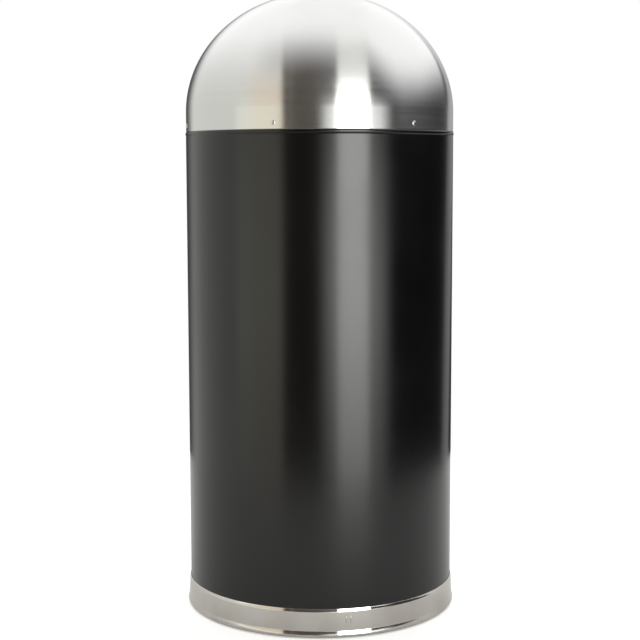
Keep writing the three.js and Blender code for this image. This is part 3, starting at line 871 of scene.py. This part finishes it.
def make_springs():
    """A coil wound round the rod, with a straight leg up to the bracket's pad."""
    wire, mean, turns, pitch, leg = 0.7 * MM, 4.3 * MM, 4, 2.4 * MM, 9 * MM
    for side, sign in (("left", -1), ("right", 1)):
        low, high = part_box(f"return_spring_{side}")
        start = (low.x + wire) if sign > 0 else (high.x - wire)
        bm = bmesh.new()
        bmesh.ops.create_circle(bm, cap_ends=False, segments=12, radius=wire)
        bmesh.ops.translate(bm, vec=(start, hinge.y + mean, hinge.z), verts=bm.verts)
        steps = turns * 28
        advance = (sign * pitch * turns / steps, 0, 0)
        made = bmesh.ops.spin(bm, geom=bm.verts[:] + bm.edges[:], cent=hinge, axis=(1, 0, 0),
                              dvec=advance, angle=2 * math.pi * turns, steps=steps)
        last = [item for item in made["geom_last"] if isinstance(item, bmesh.types.BMEdge)]
        grown = bmesh.ops.extrude_edge_only(bm, edges=last)
        bmesh.ops.translate(bm, vec=(0, 0, leg), verts=verts_in(grown))
        bmesh.ops.holes_fill(bm, edges=bm.edges[:], sides=0)
        bmesh.ops.recalc_face_normals(bm, faces=bm.faces)
        finish_piece(f"return_spring_{side}_coil", bm, "dome", "spring_steel", f"return_spring_{side}")


# ---------- flap ----------

def make_flap_panel():
    """The sheet behind the opening, which overlaps its edge all round."""
    layer = dome_layer(FLAP_INSET, FLAP_INSET + FLAP_SHEET, seam + 10 * MM, 288)
    bm = cut_mesh(layer, opening_block(FLAP_OVERLAP), "INTERSECT")
    shade_on_form(finish_piece("flap_panel", bm, "flap", "brushed_stainless", "push_flap"))


def make_flap_flange():
    """The strip bent in along the flap's top, which the hinge's leaf is riveted to."""
    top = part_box("push_flap")[1].z
    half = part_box("hinge_leaf")[1].x + 6.5 * MM
    rear = hinge.y - 7 * MM
    front = -dome_radius_at(FLAP_INSET + FLAP_SHEET, top - 0.6 * MM)
    bm = bmesh.new()
    bmesh.ops.create_grid(bm, x_segments=24, y_segments=6, size=1)
    for vert in bm.verts:
        across = vert.co.x * half
        reach = -math.sqrt(max(front ** 2 - across ** 2, 0))
        along = (vert.co.y + 1) / 2
        vert.co = Vector((across, rear + (reach - rear) * along, top - 1.2 * MM))
    finish_piece("flap_flange", carried(bm, (0, 0, 1.1 * MM)), "flap", "brushed_stainless")


def make_spring_arms():
    for side in ("left", "right"):
        low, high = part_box(f"spring_arm_{side}")
        middle = (low + high) / 2
        start, end = Vector((middle.x, low.y, middle.z)), Vector((middle.x, high.y, middle.z))
        bm = pin((high.z - low.z) / 2, start, end, 16)
        finish_piece(f"spring_arm_{side}_wire", bm, "flap", "spring_steel", f"spring_arm_{side}")


def make_leaf():
    """A plate rolled into a knuckle round the rod, riveted up through the flap's flange."""
    low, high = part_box("hinge_leaf")
    knuckle, ease = 4.7 * MM, 0.3 * MM
    rise = high.z - hinge.z
    join = 180 - math.degrees(math.asin(max(-1, min(1, rise / knuckle))))
    outline = [
        (low.y, low.z + ease),
        (low.y + ease, low.z),
        *arc((hinge.y, hinge.z), (knuckle, knuckle), -90, join, 28),
        (low.y + ease, high.z),
        (low.y, high.z - ease),
    ]
    leaf = plate(outline, "X", low.x, high.x, 0)
    reach = Vector((high.x + 5 * MM, 0, 0))
    leaf = cut_mesh(leaf, pin(ROD_HOLE, hinge - reach, hinge + reach), "DIFFERENCE")
    finish_piece("hinge_leaf_plate", leaf, "flap", "galvanised", "hinge_leaf")
    for side in ("left", "right"):
        node = f"leaf_rivet_{side}"
        low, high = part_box(node)
        middle = (low + high) / 2
        place = Vector((middle.x, middle.y, high.z - 1.2 * MM))
        length = high.z - low.z - 2 * MM
        bm = rivet_form(head=2.6 * MM, rise=1.15 * MM, shank=1.3 * MM, length=length, tail=2.4 * MM)
        finish_piece(f"{node}_head", aimed(bm, place, UP), "flap", "galvanised", node)


def make_bumpers():
    """Rubber buttons on the flap's lower corners that meet the inside of the dome."""
    for side in ("left", "right"):
        node = f"flap_bumper_{side}"
        middle = middle_of(node)
        start, end = Vector((middle.x, -1.2 * dome_radius, middle.z)), Vector((middle.x, 0, middle.z))
        layer = dome_layer(1.35 * MM, 2.3 * MM, seam, 96)
        button = cut_mesh(layer, pin(3.95 * MM, start, end, 48), "INTERSECT")
        finish_piece(f"{node}_button", button, "flap", "black_rubber", node)


# ---------- liner and handle ----------

def make_ears():
    """Strap ears riveted to the liner, stepped outward to carry the handle's ends."""
    wall = 2 * MM
    for side, sign in (("left", -1), ("right", 1)):
        node = f"liner_ear_{side}"
        low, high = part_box(node)
        outer = max(abs(low.x), abs(high.x))
        inner = min(abs(low.x), abs(high.x))
        step = pivot.z - 14 * MM
        outline = [
            (inner, low.z),
            (inner + wall, low.z),
            (inner + wall, step),
            (outer, pivot.z - 8.5 * MM),
            (outer, high.z),
            (outer - wall, high.z),
            (outer - wall, pivot.z - 7.6 * MM),
            (inner, step + 1 * MM),
        ]
        outline = [(sign * x, z) for x, z in outline]
        ear = plate(outline, "Y", low.y, high.y, 0.3 * MM)
        hole_from = Vector((sign * (outer - 8 * MM), 0, pivot.z))
        hole_to = Vector((sign * (outer + 5 * MM), 0, pivot.z))
        ear = cut_mesh(ear, pin(3 * MM, hole_from, hole_to), "DIFFERENCE")
        finish_piece(f"{node}_strap", ear, "liner", "galvanised", node)


def make_liner():
    """A tapered bucket with a flange at its rim, a wire under the flange and a raised floor."""
    low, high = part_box("liner_shell")
    wall, roll, flange, taper = SHEET, 0.5 * MM, 7 * MM, 9.5 * MM
    lip = high.x
    top_radius = lip - flange
    base_radius = top_radius - taper
    outline = [
        (base_radius - wall, low.z),
        (base_radius, low.z),
        (top_radius, high.z - wall),
        (lip - roll, high.z - wall),
        *arc((lip - roll, high.z - roll), (roll, roll), -90, 90, 6),
        *arc((top_radius + 1 * MM, high.z - 2 * MM), (2 * MM, 2 * MM), 90, 180, 6),
    ]
    finish_piece("liner_sheet", spun(outline, 192), "liner", "galvanised", "liner_shell")
    ring_low, ring_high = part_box("liner_rim_ring")
    wire = 2.8 * MM
    outline = arc((ring_high.x - wire, (ring_low.z + ring_high.z) / 2), (wire, wire), 0, 345, 23)
    finish_piece("liner_rim_wire", spun(outline, 192), "liner", "galvanised", "liner_rim_ring")
    floor_low, floor_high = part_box("liner_bottom")
    outer, top = floor_high.x, floor_high.z
    bend, flat = 3 * MM, outer - 60 * MM
    outline = [
        (0, top - wall),
        (flat, top - wall),
        (outer - bend, top - wall),
        (outer - wall, top - bend),
        (outer - wall, floor_low.z),
        (outer, floor_low.z),
        *arc((outer - bend, top - bend), (bend, bend), 0, 90, 6),
        (flat, top),
        (0, top),
    ]
    bm = spun(outline, 128, closed=False)
    finish_piece("liner_floor", bm, "liner", "galvanised", "liner_bottom")


def make_ear_rivets():
    for side, sign in (("left", -1), ("right", 1)):
        for spot in ("lower", "upper"):
            node = f"ear_rivet_{side}_{spot}"
            low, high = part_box(node)
            face = high.x - 1.4 * MM if sign > 0 else low.x + 1.4 * MM
            place = Vector((face, 0, (low.z + high.z) / 2))
            length = (high.x - low.x) - 2.2 * MM
            bm = rivet_form(head=3 * MM, rise=1.4 * MM, shank=1.3 * MM, length=length, tail=2.6 * MM)
            aimed(bm, place, Vector((sign, 0, 0)))
            finish_piece(f"{node}_head", bm, "liner", "galvanised", node)


DROOP = math.radians(5)


def make_bail():
    """The handle's wire: half a circle, bent inward at both ends through the ears."""
    low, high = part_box("bail_handle")
    wire, bend, stub = 2.5 * MM, 3.2 * MM, 7 * MM
    loop = high.x - wire * 0.95
    bm = bmesh.new()
    bmesh.ops.create_circle(bm, cap_ends=False, segments=20, radius=wire)
    bmesh.ops.rotate(bm, cent=(0, 0, 0), matrix=Matrix.Rotation(math.pi / 2, 3, "Y"), verts=bm.verts)
    bmesh.ops.translate(bm, vec=(loop - bend - stub, 0, 0), verts=bm.verts)
    straight, still = (stub, 0, 0), (0, 0, 0)
    stages = (
        ((0, 0, 0), straight, 0, 1),
        ((loop - bend, bend, 0), still, math.pi / 2, 10),
        ((0, bend, 0), still, math.pi, 120),
        ((bend - loop, bend, 0), still, math.pi / 2, 10),
        ((0, 0, 0), straight, 0, 1),
    )
    end = bm.verts[:] + bm.edges[:]
    kinds = (bmesh.types.BMVert, bmesh.types.BMEdge)
    for centre, slide, angle, steps in stages:
        made = bmesh.ops.spin(bm, geom=end, cent=centre, axis=(0, 0, 1), dvec=slide, angle=angle,
                              steps=steps)
        end = [item for item in made["geom_last"] if isinstance(item, kinds)]
    bmesh.ops.holes_fill(bm, edges=bm.edges[:], sides=0)
    bmesh.ops.recalc_face_normals(bm, faces=bm.faces)
    place = Matrix.Translation(pivot) @ Matrix.Rotation(-DROOP, 4, "X")
    bmesh.ops.transform(bm, matrix=place, verts=bm.verts)
    finish_piece("bail_wire", bm, "bail", "galvanised", "bail_handle")
    make_bail_grip(loop, bend, place)


def make_bail_grip(loop, bend, place):
    """A moulded sleeve on the middle of the handle, with finger rings and narrow ends."""
    sleeve, collar, ripple = 4 * MM, 3.2 * MM, 0.25 * MM
    start, sweep, steps, fingers = 75, 30, 28, 7
    narrow = (0, steps - 1, steps)
    bm = bmesh.new()
    for step in range(steps + 1):
        share = step / steps
        ringed = sleeve + ripple * math.cos(share * 2 * math.pi * fingers)
        radius = collar if step in narrow else ringed
        made = bmesh.ops.create_circle(bm, cap_ends=False, segments=24, radius=radius)
        turn = Matrix.Rotation(math.radians(start + sweep * share), 4, "Z")
        upright = Matrix.Translation((loop, 0, 0)) @ Matrix.Rotation(math.pi / 2, 4, "X")
        ring_at = Matrix.Translation((0, bend, 0)) @ turn @ upright
        bmesh.ops.transform(bm, matrix=ring_at, verts=made["verts"])
    bmesh.ops.bridge_loops(bm, edges=bm.edges[:])
    bmesh.ops.holes_fill(bm, edges=bm.edges[:], sides=0)
    bmesh.ops.recalc_face_normals(bm, faces=bm.faces)
    bmesh.ops.transform(bm, matrix=place, verts=bm.verts)
    finish_piece("bail_sleeve", bm, "bail", "grip_plastic", "bail_grip")


# ---------- floor and light ----------

FLOOR_RADIUS = 1.08
SOFTBOX = (0.128, 0.354)
SOFTBOX_GLOW = (0.035, 0.475)
WARM_WALL = (-0.5, -0.2)
WALL_END = (-0.275, -0.262)
DIM_START = (0.1, 0.14)
FOOT_OF_DOME = (0.04, 0.12)
PURE_WHITE = (1, 1, 1, 1)


def make_floor():
    bm = bmesh.new()
    bmesh.ops.create_circle(bm, cap_ends=True, segments=128, radius=FLOOR_RADIUS)
    mesh = bpy.data.meshes.new("floor")
    bm.to_mesh(mesh)
    bm.free()
    floor = bpy.data.objects.new("floor", mesh)
    bpy.context.scene.collection.objects.link(floor)
    material = bpy.data.materials.new("floor")
    material.use_nodes = True
    nodes = Nodes(material.node_tree)
    surface = material.node_tree.nodes["Principled BSDF"].inputs
    surface["Base Color"].default_value = (0.78, 0.775, 0.765, 1)
    surface["Roughness"].default_value = 0.7
    surface["Specular IOR Level"].default_value = 0.2
    surface["Emission Color"].default_value = PURE_WHITE
    seen = nodes.add("ShaderNodeLightPath").outputs["Is Camera Ray"]
    nodes.join(nodes.math("MULTIPLY", seen, 0.42), surface["Emission Strength"])
    mesh.materials.append(material)


def make_world():
    """A soft studio: a white lid, a pale wall on the left, one tall softbox and a dim side on the right.

    Each direction is first turned into the place on a dome that would mirror it towards the camera:
    "side" runs from -1 at the dome's left edge to 1 at its right, and "rise" from 0 at its foot to 1
    at its top. The lights are laid out by those two numbers.
    """
    world = bpy.data.worlds.new("studio")
    bpy.context.scene.world = world
    world.use_nodes = True
    nodes = Nodes(world.node_tree)
    background = world.node_tree.nodes["Background"].inputs
    towards = nodes.add("ShaderNodeTexCoord").outputs["Generated"]

    def vector(operation, first, second=None):
        node = nodes.add("ShaderNodeVectorMath", operation=operation)
        nodes.feed(node.inputs[0], first)
        if second is not None:
            nodes.feed(node.inputs[1], second)
        return node.outputs["Value" if operation == "DOT_PRODUCT" else "Vector"]

    def window(value, low, high, soft):
        rise = nodes.smooth(value, low - soft, low + soft)
        fall = nodes.smooth(value, high - soft, high + soft, 1.0, 0.0)
        return nodes.math("MULTIPLY", rise, fall)

    seen_from = (to_camera - UP * 0.05).normalized()
    halfway = vector("MULTIPLY", vector("ADD", towards, seen_from), (1, 1, dome_rise / dome_radius))
    halfway = vector("NORMALIZE", halfway)
    side = vector("DOT_PRODUCT", halfway, to_right)
    rise = vector("DOT_PRODUCT", halfway, UP)
    up = vector("DOT_PRODUCT", towards, UP)
    facing = vector("DOT_PRODUCT", towards, to_camera)

    def both(first, *others):
        for other in others:
            first = nodes.math("MULTIPLY", first, other)
        return first

    # The left: a pale wall that turns warm towards the middle, and white higher up.
    wall = nodes.mix(window(side, *WARM_WALL, 0.07), (0.91, 0.93, 0.87, 1), (1.0, 0.87, 0.71, 1))
    wall = nodes.mix(nodes.smooth(rise, 0.05, 0.4), wall, (1.12, 1.12, 1.1, 1))

    # The middle: a dark gap with a thin paler line in it.
    thin = window(side, -0.215, -0.19, 0.012)
    dark = nodes.mix(thin, (0.115, 0.102, 0.088, 1), (0.19, 0.165, 0.145, 1))
    dark = nodes.mix(nodes.smooth(side, -0.1, 0.1), dark, (0.16, 0.155, 0.15, 1))

    # The right: dim, darkest at its foot.
    dim = nodes.mix(window(side, 0.53, 0.68, 0.08), (0.065, 0.065, 0.07, 1), (0.15, 0.15, 0.155, 1))
    dim = nodes.mix(nodes.smooth(rise, -0.02, 0.06), (0.035, 0.035, 0.037, 1), dim)
    room = nodes.mix(nodes.smooth(side, *WALL_END), wall, dark)
    room = nodes.mix(nodes.smooth(side, *DIM_START), room, dim)

    # The lid comes lower towards the right, with a shade under it left of the middle.
    shade = both(window(side, -0.42, -0.15, 0.1), window(rise, 0.3, 0.6, 0.1))
    room = nodes.mix(nodes.math("MULTIPLY", shade, 0.5), room, (0.3, 0.3, 0.3, 1))
    lid_edge = nodes.math("ADD", nodes.smooth(side, 0.22, 0.62, 0.48, 0.19),
                          nodes.smooth(side, 0.7, 0.95, 0.0, 0.1))
    lid = nodes.smooth(nodes.math("SUBTRACT", rise, lid_edge), -0.2, 0.2)
    room = nodes.mix(lid, room, (1.5, 1.5, 1.51, 1))

    # The softbox, brightest at its foot, which only the upright sides mirror, and the glow round it.
    near = nodes.smooth(up, -0.22, -0.085)
    below = nodes.smooth(up, 0.005, 0.03, 1.0, 0.0)
    softbox = nodes.mix(nodes.smooth(rise, 0.06, 0.36), (1.75, 1.75, 1.7, 1), (0.95, 0.95, 0.92, 1))
    foot = nodes.mix(near, (2.8, 2.8, 2.7, 1), (8.2, 8.2, 8.0, 1))
    softbox = nodes.mix(nodes.smooth(rise, *FOOT_OF_DOME), foot, softbox)
    softbox = nodes.mix(nodes.smooth(rise, 0.42, 0.6), softbox, (1.45, 1.45, 1.45, 1))
    glow = nodes.mix(near, (0.9, 0.9, 0.88, 1), (3.0, 3.0, 2.95, 1))
    room = nodes.mix(both(window(side, *SOFTBOX_GLOW, 0.065), below), room, glow)
    olive = both(window(side, -0.6, -0.27, 0.03), near, below)
    room = nodes.mix(olive, room, (1.45, 1.47, 1.27, 1))
    room = nodes.mix(window(side, *SOFTBOX, 0.01), room, softbox)

    # What the outermost edges mirror, behind the bin: a grey strip, a dark line and a dim cap.
    low = nodes.smooth(up, 0.15, 0.52, 1.0, 0.0)
    right = nodes.smooth(side, -0.2, 0.2)
    ring = nodes.math("ADD", facing, nodes.math("MULTIPLY", up, 0.48))
    strip = both(right, nodes.smooth(up, 0.0, 0.5, 1.0, 0.3), window(ring, -0.955, -0.76, 0.015))
    room = nodes.mix(strip, room, (0.5, 0.5, 0.51, 1))
    line = both(right, low, window(ring, -0.755, -0.655, 0.025))
    room = nodes.mix(line, room, (0.08, 0.08, 0.08, 1))
    cap_start, cap_end = nodes.mix_value(right, -0.93, -0.985), nodes.mix_value(right, -0.69, -0.965)
    cap = both(nodes.smooth(facing, cap_start, cap_end, 1.0, 0.0), low)
    room = nodes.mix(cap, room, nodes.mix(right, (0.1, 0.1, 0.1, 1), (0.2, 0.2, 0.2, 1)))
    seen = nodes.add("ShaderNodeLightPath").outputs["Is Camera Ray"]
    nodes.join(nodes.mix(seen, room, PURE_WHITE), background["Color"])
    background["Strength"].default_value = 1.0


def dress_frame():
    """Every frame node that stays in view takes its slot's full material."""
    for name in frame["nodes"]:
        piece = bpy.data.objects.get(name)
        if piece is not None:
            piece.data.materials.clear()
            piece.data.materials.append(materials[slot_of[name]])


bpy.context.scene.view_settings.view_transform = "Standard"
place_camera()
make_world()
make_floor()
make_body_shell()
make_base_band()
make_band_stitches()
make_pan()
make_feet()
make_dome_shell()
make_opening_edge()
make_collar()
make_dome_rivets()
make_bracket_rivets()
make_brackets()
make_rod()
make_rod_caps()
make_springs()
make_flap_panel()
make_flap_flange()
make_spring_arms()
make_leaf()
make_bumpers()
make_liner()
make_ears()
make_ear_rivets()
make_bail()
dress_frame()
